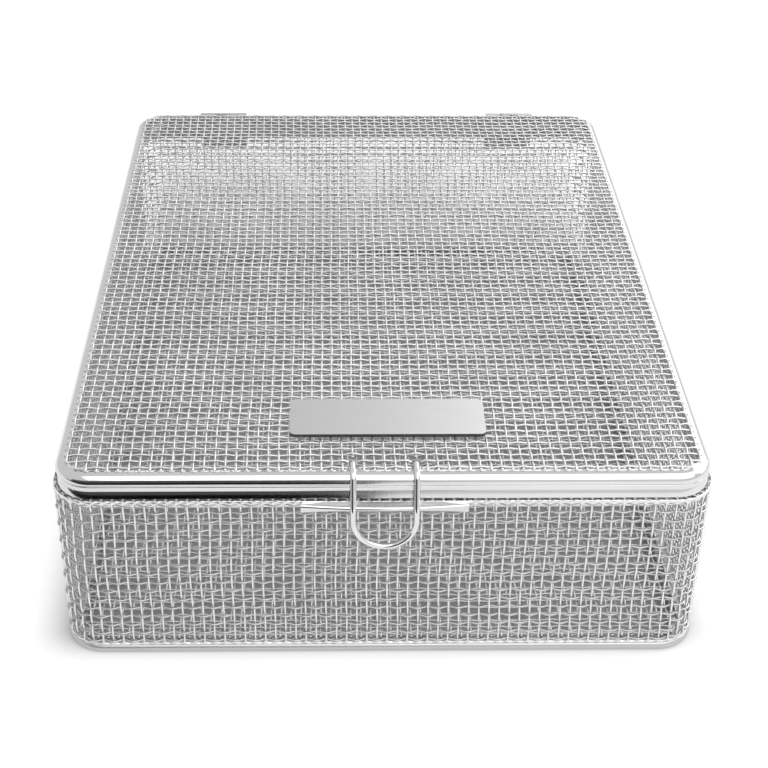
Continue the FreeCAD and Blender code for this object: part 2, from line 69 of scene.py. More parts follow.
def newMaterial(name):
    material = bpy.data.materials.new(name)
    material.use_nodes = True
    tree = material.node_tree
    tree.nodes.clear()
    output = addNode(tree, "ShaderNodeOutputMaterial")
    return material, tree, output


def placeObject(name, data):
    thing = bpy.data.objects.new(name, data)
    bpy.context.scene.collection.objects.link(thing)
    return thing


# metals: in each, "spread" is the smoothest and the roughest as shares of the roughness, and
# "relief" the strength and the depth of the fine relief


def metalLook(tree, spec, tones, grain, relief, under=None):
    # two tones mixed by one pattern, roughness that follows a second, relief from a third
    mix = addNode(
        tree,
        "ShaderNodeMix",
        {"data_type": "RGBA"},
        {"Factor": tones, 6: hexColour(spec["bright"]), 7: hexColour(spec["dull"])},
    )
    smoothest, roughest = (spec["roughness"] * share for share in spec["spread"])
    rough = addNode(
        tree, "ShaderNodeMapRange", inputs={"Value": grain, "To Min": smoothest, "To Max": roughest}
    )
    strength, depth = spec["relief"]
    inputs = {"Height": relief, "Strength": strength, "Distance": depth * mm}
    if under is not None:
        inputs["Normal"] = under
    bump = addNode(tree, "ShaderNodeBump", inputs=inputs)
    return mix.outputs[2], rough.outputs["Result"], bump.outputs["Normal"]


def finishMetal(tree, output, colour, roughness, normal):
    surface = addNode(
        tree,
        "ShaderNodeBsdfPrincipled",
        inputs={"Metallic": 1.0, "Roughness": roughness, "Base Color": colour, "Normal": normal},
    )
    tree.links.new(surface.outputs["BSDF"], output.inputs["Surface"])


# stainless strip, electropolished: mirror-like, with faint long waves left by the bending rolls
polishedStrip = {
    "bright": "#e0e0e0",
    "dull": "#cccccc",
    "roughness": 0.11,
    "spread": (0.7, 1.5),
    "waveLength": 34.0,  # between slow waves along the strip
    "waveDetail": 2.0,
    "waveRelief": (0.35, 0.5),
    "grain": 0.9,  # the orange peel that polishing leaves
    "grainDetail": 1.0,
    "relief": (0.12, 0.02),
}


def makePolishedStrip():
    spec = polishedStrip
    material, tree, output = newMaterial("electropolished stainless strip")
    place = addNode(tree, "ShaderNodeTexCoord").outputs["Object"]
    waves = addNode(
        tree,
        "ShaderNodeTexNoise",
        inputs={"Vector": place, "Scale": 1000 / spec["waveLength"], "Detail": spec["waveDetail"]},
    ).outputs["Fac"]
    peel = addNode(
        tree,
        "ShaderNodeTexNoise",
        inputs={"Vector": place, "Scale": 1000 / spec["grain"], "Detail": spec["grainDetail"]},
    ).outputs["Fac"]
    strength, depth = spec["waveRelief"]
    slow = addNode(
        tree,
        "ShaderNodeBump",
        inputs={"Height": waves, "Strength": strength, "Distance": depth * mm},
    )
    look = metalLook(tree, spec, waves, waves, peel, slow.outputs["Normal"])
    finishMetal(tree, output, *look)
    return material


# stainless wire, woven and washed: bright along the crests, greyer where it is rubbed
wovenWire = {
    "roughness": 0.3,
    "spread": (0.75, 1.3),
    "patch": 26.0,  # between brighter and duller patches of the cloth
    "patchDetail": 3.0,
    "drawLines": 0.12,  # between the lines that the drawing die leaves
    "coarser": 4,  # the lines are drawn so many times as coarse, to show in the render
    "lineDetail": 1.0,
    "relief": (0.15, 0.03),
}
# bright and dull tone of each kind of wire, two of them lit and shaded copies of one wall wire
wireTones = {
    "drawn stainless wire": ("#e2e2e2", "#c0c0c0"),  # as it comes from the loom
    "stainless wall wire with painted shade": ("#cacaca", "#a6a6a6"),  # for the level wall wires, greyer as painted shade
    "welded wire edge and wall wire with painted highlight": ("#f0f0f0", "#d2d2d2"),  # for the welded edges, flattened and whitened by the weld, and as painted highlight on the upright wall wires
}


def makeWovenWire(name):
    bright, dull = wireTones[name]
    spec = {**wovenWire, "bright": bright, "dull": dull}
    material, tree, output = newMaterial(name)
    place = addNode(tree, "ShaderNodeTexCoord").outputs["Object"]
    patches = addNode(
        tree,
        "ShaderNodeTexNoise",
        inputs={"Vector": place, "Scale": 1000 / spec["patch"], "Detail": spec["patchDetail"]},
    ).outputs["Fac"]
    lineScale = 1000 / spec["drawLines"] / spec["coarser"]
    lines = addNode(
        tree,
        "ShaderNodeTexNoise",
        inputs={"Vector": place, "Scale": lineScale, "Detail": spec["lineDetail"]},
    ).outputs["Fac"]
    finishMetal(tree, output, *metalLook(tree, spec, patches, lines, lines))
    return material


# stainless sheet with a satin belt finish: even pale grey with fine short lines along X
satinSheet = {
    "bright": "#cacaca",
    "dull": "#bababa",
    "edge": "#5c5c5c",  # painted shade: upright faces darker, standing in for the shadow gap and dark reflection at the sheet's edges
    "shadeLean": (0.25, 0.6),  # upward share of the normal, from all painted shade to none
    "roughness": 0.34,
    "spread": (0.8, 1.25),
    "lineWidth": 0.18,  # across a belt line
    "lineLength": 9.0,  # along one
    "relief": (0.18, 0.02),
}


def makeSatinSheet(name, paintedShadeShare):
    spec = satinSheet
    material, tree, output = newMaterial(name)
    place = addNode(tree, "ShaderNodeTexCoord").outputs
    alongLines, acrossLines = 1000 / spec["lineLength"], 1000 / spec["lineWidth"]
    squeeze = addNode(
        tree,
        "ShaderNodeMapping",
        inputs={"Vector": place["Object"], "Scale": (alongLines, acrossLines, acrossLines)},
    )
    lines = addNode(
        tree, "ShaderNodeTexNoise", inputs={"Vector": squeeze.outputs["Vector"], "Scale": 1.0}
    ).outputs["Fac"]
    colour, roughness, normal = metalLook(tree, spec, lines, lines, lines)
    # a face that leans far enough from level gets painted shade, a darker tone standing in for
    # shadow and dark reflection
    split = addNode(tree, "ShaderNodeSeparateXYZ", inputs={0: place["Normal"]})
    upright = addNode(tree, "ShaderNodeMath", {"operation": "ABSOLUTE"}, {0: split.outputs["Z"]})
    allShaded, unshaded = spec["shadeLean"]
    edge = addNode(
        tree,
        "ShaderNodeMapRange",
        inputs={
            "Value": upright.outputs[0],
            "From Min": allShaded,
            "From Max": unshaded,
            "To Min": 1.0,
            "To Max": 0.0,
        },
    )
    share = addNode(
        tree,
        "ShaderNodeMath",
        {"operation": "MULTIPLY"},
        {0: edge.outputs["Result"], 1: paintedShadeShare},
    )
    tone = addNode(
        tree,
        "ShaderNodeMix",
        {"data_type": "RGBA"},
        {"Factor": share.outputs[0], 6: colour, 7: hexColour(spec["edge"])},
    )
    finishMetal(tree, output, tone.outputs[2], roughness, normal)
    return material


# polished round wire: the brightest metal here, with sharp highlights and light rub marks
brightWire = {
    "bright": "#e6e6e6",
    "dull": "#d0d0d0",
    "roughness": 0.1,
    "spread": (0.5, 2.2),
    "rub": 2.5,  # between rub marks
    "rubDetail": 4.0,
    "relief": (0.1, 0.05),
}


def makeBrightWire():
    spec = brightWire
    material, tree, output = newMaterial("polished stainless wire")
    place = addNode(tree, "ShaderNodeTexCoord").outputs["Object"]
    rubs = addNode(
        tree,
        "ShaderNodeTexNoise",
        inputs={"Vector": place, "Scale": 1000 / spec["rub"], "Detail": spec["rubDetail"]},
    ).outputs["Fac"]
    finishMetal(tree, output, *metalLook(tree, spec, rubs, rubs, rubs))
    return material


stripMetal = makePolishedStrip()
lidWireMetal = makeWovenWire("drawn stainless wire")
satinMetal = makeSatinSheet("satin stainless strip", 0.0)
# the name plate takes the painted shade on its upright faces, the strip none
plateMetal = makeSatinSheet("satin stainless plate with painted shade on its edges", 1.0)
wireMetal = makeBrightWire()
shadedWallWireMetal = makeWovenWire("stainless wall wire with painted shade")
weldAndLitWireMetal = makeWovenWire("welded wire edge and wall wire with painted highlight")
print("metals made")


# mesh helpers


def buildMesh(name, verts, faces, material, body, smoothAngle):
    # one piece of the basket: its mesh and finish, and the body that it rides
    mesh = bpy.data.meshes.new(name)
    mesh.from_pydata(verts, [], faces)
    mesh.validate()
    mesh.polygons.foreach_set("use_smooth", [True] * len(mesh.polygons))
    if smoothAngle is not None:
        mesh.set_sharp_from_angle(angle=math.radians(smoothAngle))
    mesh.update()
    mesh.materials.append(material)
    piece = placeObject(name, mesh)
    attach(piece, body)
    return piece


def gridQuads(n, k, closed=True):
    # faces between n rings of k points, and from the last ring to the first one if it is closed
    i, j = np.meshgrid(np.arange(n if closed else n - 1), np.arange(k), indexing="ij")
    i2, j2 = (i + 1) % n, (j + 1) % k
    return np.stack([i * k + j, i * k + j2, i2 * k + j2, i2 * k + j], -1).reshape(-1, 4)


def sweptFaces(n, k):
    # the same for an open run of rings, with a face at each end
    ends = [list(range(k))[::-1], list(range((n - 1) * k, n * k))]
    return gridQuads(n, k, False).tolist() + ends


def arcPoints(across, up, radius, first, last, steps):
    angles = np.radians(np.linspace(first, last, steps + 1))
    return [(across + radius * math.cos(t), up + radius * math.sin(t)) for t in angles]


# the outline that the lid, the rim, the base and the walls share, the same as the frame's
basketOutline = {
    "halfX": 79.0,
    "halfY": 107.5,
    "corner": 9.0,
    "straightStep": 6.0,  # between the stations of a strip on the straights
    "bendSteps": 14,  # stations in each bend
}


def outlineShape(inset):
    # half width, half depth and corner radius of the outline moved in
    return tuple(basketOutline[key] - inset for key in ("halfX", "halfY", "corner"))


def outlineSteps(shape):
    # lengths of its straights and bends in turn, from the middle of the front, anticlockwise
    halfX, halfY, radius = shape
    a, b, bend = halfX - radius, halfY - radius, math.pi * radius / 2
    return [a, bend, 2 * b, bend, 2 * a, bend, 2 * b, bend, a]


def outlineLength(shape):
    return np.cumsum(outlineSteps(shape))[-1]


def outlineAt(along, shape):
    # centres of bend and outward directions at places along the outline
    halfX, halfY, radius = shape
    a, b = halfX - radius, halfY - radius
    starts = np.concatenate([[0], np.cumsum(outlineSteps(shape))])
    s = np.mod(np.asarray(along, float), starts[-1])
    centre = np.zeros((len(s), 2))
    outward = np.zeros((len(s), 2))
    straights = {
        0: ((0, -b), (1, 0), (0, -1)),
        2: ((a, -b), (0, 1), (1, 0)),
        4: ((a, b), (-1, 0), (0, 1)),
        6: ((-a, b), (0, -1), (-1, 0)),
        8: ((-a, -b), (1, 0), (0, -1)),
    }
    bends = {1: ((a, -b), -90), 3: ((a, b), 0), 5: ((-a, b), 90), 7: ((-a, -b), 180)}
    for index in range(9):
        inside = (s >= starts[index]) & (s < starts[index + 1])
        if index == 8:
            inside |= s >= starts[index + 1]
        t = s[inside] - starts[index]
        if index in straights:
            begin, step, way = straights[index]
            centre[inside] = np.array(begin) + t[:, None] * np.array(step)
            outward[inside] = way
        else:
            middle, first = bends[index]
            angle = np.radians(first) + t / radius
            centre[inside] = middle
            outward[inside] = np.stack([np.cos(angle), np.sin(angle)], 1)
    return centre, outward


def besideOutline(along, shape, out, heights):
    # points that far outside the outline, and the outward directions there
    centre, outward = outlineAt(along, shape)
    xy = centre + outward * (shape[2] + out)[:, None]
    return np.concatenate([xy, heights[:, None]], 1), outward


def ringStations(shape):
    # places along the outline: even on the straights, closer in the bends
    places, at = [], 0.0
    for index, length in enumerate(outlineSteps(shape)):
        evenCount = max(1, round(length / basketOutline["straightStep"]))
        count = basketOutline["bendSteps"] if index % 2 else evenCount
        places += [at + length * i / count for i in range(count)]
        at += length
    return np.array(places)


def ringPiece(name, section, material, body, smoothAngle=40.0):
    # carries a closed section of (inset, height) pairs once around the outline
    shape = outlineShape(0.0)
    centre, outward = outlineAt(ringStations(shape), shape)
    section = np.array(section, float)
    n, k = len(centre), len(section)
    xy = centre[:, None, :] + outward[:, None, :] * (shape[2] - section[None, :, 0:1])
    z = np.broadcast_to(section[None, :, 1:2], (n, k, 1))
    verts = np.concatenate([xy, z], 2).reshape(-1, 3) * mm
    faces = gridQuads(n, k)
    return buildMesh(
        name, verts.tolist(), faces.tolist(), material, body, smoothAngle
    )


def innerFace(across, low, high, ease):
    # the flat side of a strip towards the inside, from below, with eased corners
    return [(across, low + ease), (across, high - ease), (across - ease, high)]


# lid frame: a half-round strip, full at its upper edge and nearly square at its lower one
lidShape = {
    "bottom": 51.9,
    "thick": 2.6,
    "band": 3.1,  # width from the outside in
    "crown": 2.45,  # radius of the upper outer edge
    "heel": 0.12,  # radius of the lower outer edge
    "innerEase": 0.15,
    "crownSteps": 12,
    "heelSteps": 6,
}


def makeLidFrame():
    lid = lidShape
    low, high, ease = lid["bottom"], lid["bottom"] + lid["thick"], lid["innerEase"]
    crown, heel = lid["crown"], lid["heel"]
    section = innerFace(lid["band"], low, high, ease)
    section += arcPoints(crown, high - crown, crown, 90, 180, lid["crownSteps"])
    section += arcPoints(heel, low + heel, heel, 180, 270, lid["heelSteps"])
    section.append((lid["band"] - ease, low))
    frameRing = ringPiece("lidFrameStrip", section, stripMetal, "lid")
    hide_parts("lid_frame")


# rim: a bead with a flat face, a fine groove, then a belly that hides the top of the cloth
rimShape = {
    "top": 51.6,
    "inset": 0.3,  # from the outline to the bead's face
    "band": 2.8,  # width of the bead
    "flange": 1.5,  # height of its inner side
    "innerEase": 0.1,
    "faceEase": 0.4,  # radius of both edges of the face
    "faceFoot": 1.3,  # where the flat face ends, below the top
    "faceSteps": 6,
    "shoulder": 0.88,  # sets how far in and down the groove lies
    "grooveTurn": 53.13,  # degrees that the bead turns in towards the groove
    "grooveSteps": 5,
    "webInset": 0.05,  # from the outline to the strip under the belly
    "bow": 0.07,  # how far the belly swells
    "bellyFoot": 3.7,  # below the top
    "bellySteps": 12,
    "height": 5.8,  # of the whole strip
    "wall": 1.2,  # its thickness
    "smoothAngle": 50.0,
}


def makeRim():
    rim = rimShape
    top, inset, web, foot = rim["top"], rim["inset"], rim["webInset"], rim["bellyFoot"]
    inner, innerEase, ease = inset + rim["band"], rim["innerEase"], rim["faceEase"]
    turn, shoulder = rim["grooveTurn"], rim["shoulder"]
    section = [(inner, top - rim["flange"]), (inner, top - innerEase), (inner - innerEase, top)]
    section += arcPoints(inset + ease, top - ease, ease, 90, 180, rim["faceSteps"])
    section += arcPoints(
        inset + ease, top - rim["faceFoot"], ease, 180, 180 + turn, rim["grooveSteps"]
    )
    grooveIn = inset + shoulder * (1 - math.cos(math.radians(turn)))
    grooveDrop = shoulder * (1 + math.sin(math.radians(turn)))
    for step in range(1, rim["bellySteps"]):
        t = step / rim["bellySteps"]
        out = grooveIn * (1 - t) + web * t - rim["bow"] * (1 - (2 * t - 1) ** 2)
        section.append((out, top - grooveDrop * (1 - t) - foot * t))
    section += [(web, top - foot), (web, top - rim["height"])]
    back = web + rim["wall"]
    section += [(back, top - rim["height"]), (back, top - rim["flange"])]
    rimRing = ringPiece(
        "rimStrip", section, stripMetal, "basket", rim["smoothAngle"]
    )
    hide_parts("basket_rim")


# base frame: a half-round strip that the basket stands on
baseShape = {"inset": -0.95, "thick": 3.0, "band": 4.6, "innerEase": 0.15, "beadSteps": 18}


def makeBaseFrame():
    base = baseShape
    inner, bead = base["inset"] + base["band"], base["thick"] / 2
    section = innerFace(inner, 0.0, base["thick"], base["innerEase"])
    section += arcPoints(base["inset"] + bead, bead, bead, 90, 270, base["beadSteps"])
    section.append((inner - base["innerEase"], 0.0))
    baseRing = ringPiece("baseFrameStrip", section, satinMetal, "basket")
    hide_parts("base_frame")


makeLidFrame()
makeRim()
makeBaseFrame()
print("frames bent")


# woven cloth: ten wires to the inch, each going over and under the ones that cross it
cloth = {
    "pitch": 2.54,
    "thick": 1.0,
    "edge": 0.9,  # from a panel's edge to its outermost wires
    "wireRadius": 0.29,
    "sides": 6,
    "swing": 0.205,  # how far a wire's middle leaves the middle of the cloth
    "straightShare": 0.55,  # the stiffer wires swing this much as far
    "flatShare": 0.22,  # half of the level stretch over a crossing, in pitches
    "drift": 0.22,  # how unevenly the wires lie
    "driftShares": (0.6, 0.4),  # of the two waves that move them each way
    "acrossWaves": (11.0, 4.3, 39.0),  # length of a radian of the waves across the cloth
    "alongWaves": (47.0, 13.0, 5.1),  # and along it, in whole turns if the cloth is closed
    "phaseShares": (2.1, 1.7, 0.6),  # of the first wave's phase, for the other three
    "fade": 6.0,  # over this distance from an edge the wires come back into line
    "endDrop": -0.2,  # the ends of a panel's wires go down onto its frame
    "neckShare": 0.8,  # of the drop, where the flattened end begins
    "endSpread": 0.45,  # length of the flattened end
    "endHeights": (0.5, 0.7),  # of its tip and its neck, as shares of the wire's
    "endClear": 0.35,  # a crossing closer to an end than this is left out
    "leastStep": 0.1,  # between two places on a wire
    "closeWithin": 0.0001,
}


def clothDrift(u, v, phase, turn=None):
    # smooth wander of the wires in the plane of the cloth; turn is the length of a closed one
    drift, (much, less) = cloth["drift"], cloth["driftShares"]
    waves = [1 / length for length in cloth["alongWaves"]]
    if turn:
        waves = [round(wave * turn / (2 * math.pi)) * 2 * math.pi / turn for wave in waves]
    slow, middle, quick = waves
    broad, narrow, long = cloth["acrossWaves"]
    second, third, fourth = (phase * share for share in cloth["phaseShares"])
    du = np.sin(v / broad + phase) * much + np.sin(v / narrow + u * slow + second) * less
    dv = np.sin(u * middle + third) * much + np.sin(u * quick + v / long + fourth) * less
    return drift * du, drift * dv


def wireRun(crossings, start, end, over, swing, endDrop):
    # place, height and flattening of the samples along one wire, whose ends are pressed flat
    spread, clear, step = cloth["endSpread"], cloth["endClear"], cloth["leastStep"]
    tip, neck = cloth["endHeights"]
    neckDrop = endDrop * cloth["neckShare"]
    reach = cloth["pitch"] * cloth["flatShare"]
    samples = [(start, endDrop, tip), (start + spread, neckDrop, neck)]
    for index in np.nonzero((crossings > start + clear) & (crossings < end - clear))[0]:
        height = swing if (index + over) % 2 == 0 else -swing
        at = crossings[index]
        if at - reach > samples[-1][0] + step:
            samples.append((at - reach, height, 1.0))
        if at + reach < end - spread - step:
            samples.append((at + reach, height, 1.0))
    samples += [(end - spread, neckDrop, neck), (end, endDrop, tip)]
    return np.array(samples, float).T


def wireTubes(runs):
    # Each run is (n, 3) centres, (n, 3) side directions, (n, 3) up directions and (n) flattening.
    # One that comes back to its start is joined to itself, any other gets an end face at each end.
    sides = cloth["sides"]
    angles = np.arange(sides) * 2 * math.pi / sides + math.pi / sides
    verts, faces, offset = [], [], 0
    for centres, side, up, squash in runs:
        closed = np.allclose(centres[0], centres[-1], atol=cloth["closeWithin"])
        if closed:
            centres, side, up, squash = centres[:-1], side[:-1], up[:-1], squash[:-1]
        n = len(centres)
        wide = cloth["wireRadius"] * (2 - squash)
        tall = cloth["wireRadius"] * squash
        ring = (
            centres[:, None, :]
            + side[:, None, :] * (np.cos(angles)[None, :, None] * wide[:, None, None])
            + up[:, None, :] * (np.sin(angles)[None, :, None] * tall[:, None, None])
        )
        verts.append(ring.reshape(-1, 3))
        faces.append(gridQuads(n, sides, closed) + offset)
        if not closed:
            # two four-sided faces fill a hexagon
            ends = (range(sides)[::-1], range((n - 1) * sides, n * sides))
            caps = [[e[0], e[k], e[k + 1], e[k + 2]] for e in ends for k in (1, 3)]
            faces.append(np.array(caps) + offset)
        offset += n * sides
    return (np.concatenate(verts) * mm).tolist(), np.concatenate(faces).tolist()


def roundedEnd(position, half, otherHalf, radius):
    # how far a wire runs before it meets the rounded corner of its panel
    past = max(abs(position) - (half - radius), 0.0)
    return otherHalf - radius + math.sqrt(max(radius**2 - past**2, 0.0))


def clothSag(x, y, spec):
    # gentle waves of the thin cloth between its welded edges
    height, waveX, waveY, turnX, turnY = spec["sag"]
    lift = height * np.sin(x / waveX + turnX) * np.cos(y / waveY + turnY)
    if "ripple" in spec:
        height, waveX, waveY = spec["ripple"]
        lift = lift + height * np.sin(x / waveX - y / waveY)
    return lift


def panelRuns(spec, bottom, slots=None):
    # lengthwise and crosswise wires of a flat panel whose underside rests on its frame
    halfX, halfY, radius = outlineShape(spec["inset"])
    middle = bottom + cloth["thick"] / 2
    atX, atY = (
        np.linspace(-outermost, outermost, round(2 * outermost / cloth["pitch"]) + 1)
        for outermost in (halfX - cloth["edge"], halfY - cloth["edge"])
    )
    lengthwise, crosswise = [], []

    def lay(x, y, height, squash, sideways):
        du, dv = clothDrift(x, y, spec["phase"])
        fadeX = np.clip((halfX - np.abs(x)) / cloth["fade"], 0, 1)
        fadeY = np.clip((halfY - np.abs(y)) / cloth["fade"], 0, 1)
        lift = clothSag(x, y, spec) * np.minimum(fadeX, fadeY)
        centres = np.stack([x + du * fadeX, y + dv * fadeY, middle + height + lift], 1)
        side = np.tile(sideways, (len(x), 1))
        up = np.tile([0.0, 0.0, 1.0], (len(x), 1))
        return centres, side, up, squash

    for j, x in enumerate(atX):
        reach = roundedEnd(x, halfX, halfY, radius)
        start = -reach
        if slots and abs(abs(x) - slots["legX"]) < slots["half"]:
            start = slots["end"]  # cut short behind the leg of the bail
        places, heights, squash = wireRun(
            atY, start, reach, j, cloth["swing"], cloth["endDrop"]
        )
        lengthwise.append(lay(np.full(len(places), x), places, heights, squash, [1.0, 0.0, 0.0]))
    stiffSwing = cloth["swing"] * cloth["straightShare"]
    for k, y in enumerate(atY):
        reach = roundedEnd(y, halfY, halfX, radius)
        spans = [(-reach, reach)]
        if slots and y < slots["end"]:
            inner, outer = slots["legX"] - slots["half"], slots["legX"] + slots["half"]
            spans = [(-reach, -outer), (-inner, inner), (outer, reach)]
        for start, end in spans:
            places, heights, squash = wireRun(
                atX, start, end, k + 1, stiffSwing, cloth["endDrop"]
            )
            if slots and 0 < y - slots["end"] < cloth["pitch"]:
                # the first whole wire behind the slots is pushed up over each leg
                near = np.abs(np.abs(places) - slots["legX"])
                heights = heights + slots["arch"] * np.exp(-((near / slots["archReach"]) ** 2))
            crosswise.append(
                lay(places, np.full(len(places), y), heights, squash, [0.0, 1.0, 0.0])
            )
    return lengthwise, crosswise


# "sag" is the height of the waves, the length of a radian each way and the phase each way
lidCloth = {
    "inset": 2.3,
    "phase": 0.3,
    "sag": (0.11, 21.0, 27.0, 0.8, -0.4),
    "ripple": (0.05, 9.0, 13.0),  # height, and the length of a radian each way
}
# the two openings that the legs of the bail come up through
lidSlots = {"legX": 7.55, "half": 1.0, "end": -99.9, "arch": 0.35, "archReach": 1.6}


def makeLidCloth():
    lid = lidShape
    lengthwise, crosswise = panelRuns(lidCloth, lid["bottom"] + lid["thick"], lidSlots)
    for name, runs in (("lidWiresLengthwise", lengthwise), ("lidWiresCrosswise", crosswise)):
        verts, faces = wireTubes(runs)
        piece = buildMesh(name, verts, faces, lidWireMetal, "lid", None)
        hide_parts("lid_mesh")
        print(name, len(runs), "wires", len(faces) * 2, "triangles")


baseCloth = {"inset": 1.45, "phase": 1.9, "sag": (0.05, 17.0, 23.0, 0.0, 0.0)}


def makeBaseCloth():
    lengthwise, crosswise = panelRuns(baseCloth, baseShape["thick"])
    for name, runs in (("baseWiresLengthwise", lengthwise), ("baseWiresCrosswise", crosswise)):
        verts, faces = wireTubes(runs)
        piece = buildMesh(name, verts, faces, lidWireMetal, "basket", None)
        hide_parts("base_mesh")
        print(name, len(runs), "wires", len(faces) * 2, "triangles")


wallCloth = {
    "bottom": 2.95,
    "top": 47.75,
    "inset": -0.36,
    "rows": 17,
    "columns": 288,
    "firstRow": 1.1,  # above the foot of the cloth
    "lastRow": 1.0,  # below its top
    "upright": 0.11,  # swing of the upright wires
    "level": 0.3,  # swing of the level ones
    "phase": 2.7,
    "fade": 5.0,
    "driftShare": 1.3,  # the wires wander this much more along the wall
}


def makeWallCloth():
    spec = wallCloth
    shape = outlineShape(spec["inset"])
    total = outlineLength(shape)
    atS = np.arange(spec["columns"]) * total / spec["columns"] + total / spec["columns"] / 2
    atZ = np.linspace(
        spec["bottom"] + spec["firstRow"], spec["top"] - spec["lastRow"], spec["rows"]
    )
    rows, columns = [], []

    def lay(s, z, height, squash, alongS):
        du, dv = clothDrift(s, z, spec["phase"], total)
        fade = np.clip(np.minimum(z - spec["bottom"], spec["top"] - z) / spec["fade"], 0, 1)
        centres, outward = besideOutline(
            s + du * fade * spec["driftShare"], shape, height, z + dv * fade
        )
        up = np.concatenate([outward, np.zeros((len(s), 1))], 1)
        if alongS:
            side = np.tile([0.0, 0.0, 1.0], (len(s), 1))
        else:
            side = np.stack([-outward[:, 1], outward[:, 0], np.zeros(len(s))], 1)
        return centres, side, up, squash

    for j, s in enumerate(atS):
        places, heights, squash = wireRun(
            atZ, spec["bottom"], spec["top"], j, spec["upright"], 0.0
        )
        columns.append(lay(np.full(len(places), s), places, heights, squash, False))
    reach = cloth["pitch"] * cloth["flatShare"]
    places = np.append((atS[:, None] + [-reach, reach]).reshape(-1), atS[0] - reach + total)
    for k, z in enumerate(atZ):
        over = (np.arange(len(atS)) + k) % 2 == 1
        heights = np.repeat(np.where(over, spec["level"], -spec["level"]), 2)
        heights = np.append(heights, heights[0])
        rows.append(lay(places, np.full(len(places), z), heights, np.ones(len(places)), True))
    # the same wire both ways: the upright ones brighter as painted highlight, the level ones greyer
    # as painted shade
    for name, runs, metal in (
        ("wallWiresUpright", columns, weldAndLitWireMetal),
        ("wallWiresLevel", rows, shadedWallWireMetal),
    ):
        verts, faces = wireTubes(runs)
        piece = buildMesh(name, verts, faces, metal, "basket", None)
        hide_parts("wall_mesh")
        print(name, len(runs), "wires", len(faces) * 2, "triangles")


makeLidCloth()
makeBaseCloth()
makeWallCloth()


# welded edges: the wire ends melt into a thin bumpy band with an arch between each two wires
weldBand = {
    "samples": 8,  # to each arch
    "solid": 0.75,  # depth of the band in the middle of an arch
    "arch": 0.95,  # how much deeper it is at the wires
    "lip": (0.08, 0.16),  # depth and lift where the outer edge has turned over
    "crest": (0.75, 0.2),  # share of the depth, and lift, where the inner edge begins
    "foot": 0.02,  # lift of the inner edge
    "ripple": (0.05, 0.03),  # height of the bumps at each wire, and of the slower ones
    "rippleWave": 3.1,  # for each radian of the slower ones
    "smoothAngle": 60.0,
    "wallTop": {"out": 0.3, "rise": 0.15, "depthShare": -1.0},
    "wallFoot": {"out": 0.2, "rise": 0.0, "depthShare": 0.8},
}


def archedBand(name, body, shape, count, shift, place):
    # place(s, depth, lift) gives points: depth runs in from the welded edge, lift off the frame
    spec = weldBand
    total = outlineLength(shape)
    n = count * spec["samples"]
    s = np.arange(n) * total / n
    t = np.mod((s - shift) * count / total, 1.0)
    depth = spec["solid"] + spec["arch"] * (1 - np.sqrt(np.clip(1 - (2 * t - 1) ** 2, 0, 1)))
    quick, slow = spec["ripple"]
    ripple = quick * np.sin(2 * math.pi * t) + slow * np.sin(s / spec["rippleWave"])
    lipDepth, lipLift = spec["lip"]
    crestShare, crestLift = spec["crest"]
    lines = [
        place(s, np.zeros(n), np.zeros(n)),
        place(s, np.full(n, lipDepth), lipLift + ripple),
        place(s, depth * crestShare, crestLift + ripple),
        place(s, depth, np.full(n, spec["foot"])),
    ]
    verts = np.stack(lines, 1).reshape(-1, 3) * mm
    faces = gridQuads(n, len(lines))[:, [0, 3, 2, 1]]
    return buildMesh(
        name, verts.tolist(), faces.tolist(), weldAndLitWireMetal, body, spec["smoothAngle"]
    )


def makeLidWeld():
    shape = outlineShape(lidCloth["inset"])
    frameTop = lidShape["bottom"] + lidShape["thick"]

    def onLid(s, depth, lift):
        return besideOutline(s, shape, -depth, frameTop + lift)[0]

    count = round(outlineLength(shape) / cloth["pitch"])
    archedBand("lidWeldBand", "lid", shape, count, cloth["pitch"] / 2, onLid)


def makeWallWeld(name, level, spec):
    shape = outlineShape(wallCloth["inset"])
    halfPitch = outlineLength(shape) / wallCloth["columns"] / 2

    def onWall(s, depth, lift):
        heights = level + spec["rise"] + depth * spec["depthShare"]
        return besideOutline(s, shape, spec["out"] + lift, heights)[0]

    return archedBand(name, "basket", shape, wallCloth["columns"], halfPitch, onWall)


makeLidWeld()
makeWallWeld("wallTopWeldBand", wallCloth["top"], weldBand["wallTop"])
footBand = makeWallWeld("wallFootWeldBand", wallCloth["bottom"], weldBand["wallFoot"])
footBand.data.flip_normals()  # its depth runs up instead of down
print("cloth woven and welded")


# latch bail: one polished wire, from the pivots under the lid to the finger loop
bail = {
    "radius": 0.75,
    "sides": 24,
    "legX": lidSlots["legX"],
    "stub": 5.2,  # length of a pivot end
    "endTrim": 0.15,  # taken off it for its domed tip
    "domeShare": 0.25,  # height of the tip, as a share of the radius
    "pivotY": -103.2,
    "pivotZ": 53.6,
    "bend": 0.9,  # radius of the bends at the pivot and above the mesh
    "overZ": 55.6,  # middle of the wire where it runs over the mesh
    "centreY": -106.2,  # of the turn over the lid's edge
    "centreZ": 53.2,
    "legY": -111.45,  # of the finger loop
    "kneeZ": 47.5,  # where the slanting legs turn straight down
    "knee": 6.0,  # radius of that turn
    "drop": 3.1,  # from there to the loop
    "bendSteps": 8,
    "crownSteps": 14,
    "kneeSteps": 6,
    "loopSteps": 20,
    "smoothAngle": 60.0,
}


def arcRun(start, middle, finish, steps):
    first, last = start - middle, finish - middle
    angle = first.angle(last)
    across = (last - first * math.cos(angle)) / math.sin(angle)
    turns = [angle * k / steps for k in range(steps + 1)]
    return [middle + first * math.cos(turn) + across * math.sin(turn) for turn in turns]


def bendRun(before, corner, after, radius, steps):
    back, ahead = (before - corner).normalized(), (after - corner).normalized()
    half = (math.pi - back.angle(ahead)) / 2
    reach = radius * math.tan(half)
    middle = corner + (back + ahead).normalized() * (radius / math.cos(half))
    return arcRun(corner + back * reach, middle, corner + ahead * reach, steps)


